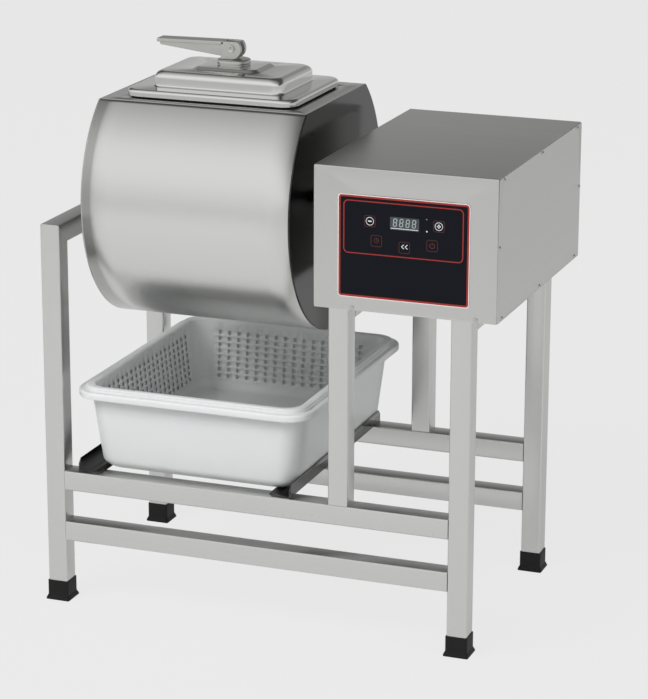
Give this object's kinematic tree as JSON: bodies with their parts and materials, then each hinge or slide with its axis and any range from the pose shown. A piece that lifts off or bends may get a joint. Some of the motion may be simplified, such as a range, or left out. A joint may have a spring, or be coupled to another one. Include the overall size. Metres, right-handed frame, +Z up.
{
  "type": "meat vacuum tumbler",
  "caption": "Vacuum tumbler for marinating meat: a flat-topped steel drum with a cam-clamped lid on a tube frame, a drive housing with keypad, and a draining tray below.",
  "frame": {"origin": "on the floor, under the middle of the whole machine", "axes": "+X along the drum's axis towards the drive housing, -Y towards the operator, +Z up"},
  "size_m": [0.8835, 0.559, 1.0466],
  "materials": {
    "frame_steel": "stainless square tube, fine satin brushed",
    "black_rubber": "moulded, matt",
    "guide_steel": "bent stainless sheet, mirror finish",
    "bearing_iron": "grey-green enamel",
    "bolt_steel": "bright stainless",
    "sheet_steel": "stainless sheet, satin",
    "overlay_film": "printed film, gloss",
    "display_plastic": "tinted window over lit digits",
    "board_laminate": "green solder mask",
    "black_nylon": "moulded, matt",
    "machine_paint": "grey enamel",
    "brass": "turned",
    "drum_steel": "stainless sheet, satin",
    "turned_steel": "turned and milled stainless",
    "lid_steel": "pressed stainless, polished",
    "cast_steel": "cast stainless, bead blasted",
    "tray_plastic": "milky polypropylene, satin"
  },
  "bodies": {
    "frame": {"leg_front_left": "frame_steel", "leg_rear_left": "frame_steel", "leg_front_right": "frame_steel", "leg_rear_right": "frame_steel", "upper_rail_front": "frame_steel", "upper_rail_rear": "frame_steel", "lower_rail_front": "frame_steel", "lower_rail_rear": "frame_steel", "inner_post_front": "frame_steel", "inner_post_rear": "frame_steel", "bearing_beam": "frame_steel", "head_beam_inner": "frame_steel", "head_beam_right": "frame_steel", "foot_caps": "black_rubber", "tray_guide_left": "guide_steel", "tray_guide_right": "guide_steel", "left_bearing_housing": "bearing_iron", "right_bearing_housing": "bearing_iron", "bearing_bolts": "bolt_steel", "bearing_pedestal": "frame_steel", "housing_wrap": "sheet_steel", "housing_side_left": "sheet_steel", "housing_side_right": "sheet_steel", "housing_floor": "sheet_steel", "panel_screws": "bolt_steel", "keypad_overlay": "overlay_film", "display_module": "display_plastic", "control_board": "board_laminate", "cable_gland": "black_nylon", "motor_plate": "frame_steel", "gearbox": "machine_paint", "drive_motor": "machine_paint", "drive_bolts": "bolt_steel", "vacuum_pump": "machine_paint", "rotary_union": "brass", "vacuum_hose": "black_rubber"},
    "drum": {"drum_shell": "drum_steel", "drum_end_left": "drum_steel", "drum_end_right": "drum_steel", "mouth_neck": "drum_steel", "mixing_paddles": "drum_steel", "clamp_keepers": "drum_steel", "left_trunnion": "turned_steel", "drive_shaft": "turned_steel", "hub_bolts": "bolt_steel", "bearing_inner_rings": "turned_steel", "drum_gear": "turned_steel"},
    "pinion_shaft": {"pinion": "turned_steel", "output_shaft": "turned_steel"},
    "lid": {"lid_cover": "lid_steel", "lid_gasket": "black_rubber"},
    "clamp": {"clamp_collar": "turned_steel"},
    "stud": {"clamp_stud": "turned_steel", "clamp_bar": "turned_steel", "bar_nut": "bolt_steel", "pivot_pin": "bolt_steel"},
    "lever": {"cam_lever": "cast_steel"},
    "tray": {"drip_tray": "tray_plastic"},
    "basket": {"draining_basket": "tray_plastic"}
  },
  "joints": [
    {"name": "drum_spin", "type": "hinge", "parent": "frame", "child": "drum", "pos_m": [0, -0.024, 0.7651], "axis": [1, 0, 0], "continuous": true},
    {"name": "pinion_spin", "type": "hinge", "parent": "frame", "child": "pinion_shaft", "pos_m": [0.1762, 0.0885, 0.7651], "axis": [1, 0, 0], "continuous": true},
    {"name": "lid_lift", "type": "slide", "parent": "drum", "child": "lid", "axis": [0, 0, 1], "range_m": [0, 0.2]},
    {"name": "clamp_turn", "type": "hinge", "parent": "lid", "child": "clamp", "pos_m": [-0.1555, -0.024, 1.0027], "axis": [0, 0, 1], "range_deg": [0, 90]},
    {"name": "stud_drop", "type": "slide", "parent": "clamp", "child": "stud", "axis": [0, 0, -1], "range_m": [0, 0.0015]},
    {"name": "lever_flip", "type": "hinge", "parent": "stud", "child": "lever", "pos_m": [-0.1555, -0.024, 1.0336], "axis": [0, 1, 0], "range_deg": [0, 90]},
    {"name": "tray_slide", "type": "slide", "parent": "frame", "child": "tray", "axis": [0, -1, 0], "range_m": [0, 0.45]},
    {"name": "basket_lift", "type": "slide", "parent": "tray", "child": "basket", "axis": [0, 0, 1], "range_m": [0, 0.085]}
  ],
  "couplings": [
    {"joint": "pinion_spin", "follows": "drum_spin", "ratio": -4},
    {"joint": "stud_drop", "follows": "lever_flip", "m_per_rad": 0.00095}
  ]
}
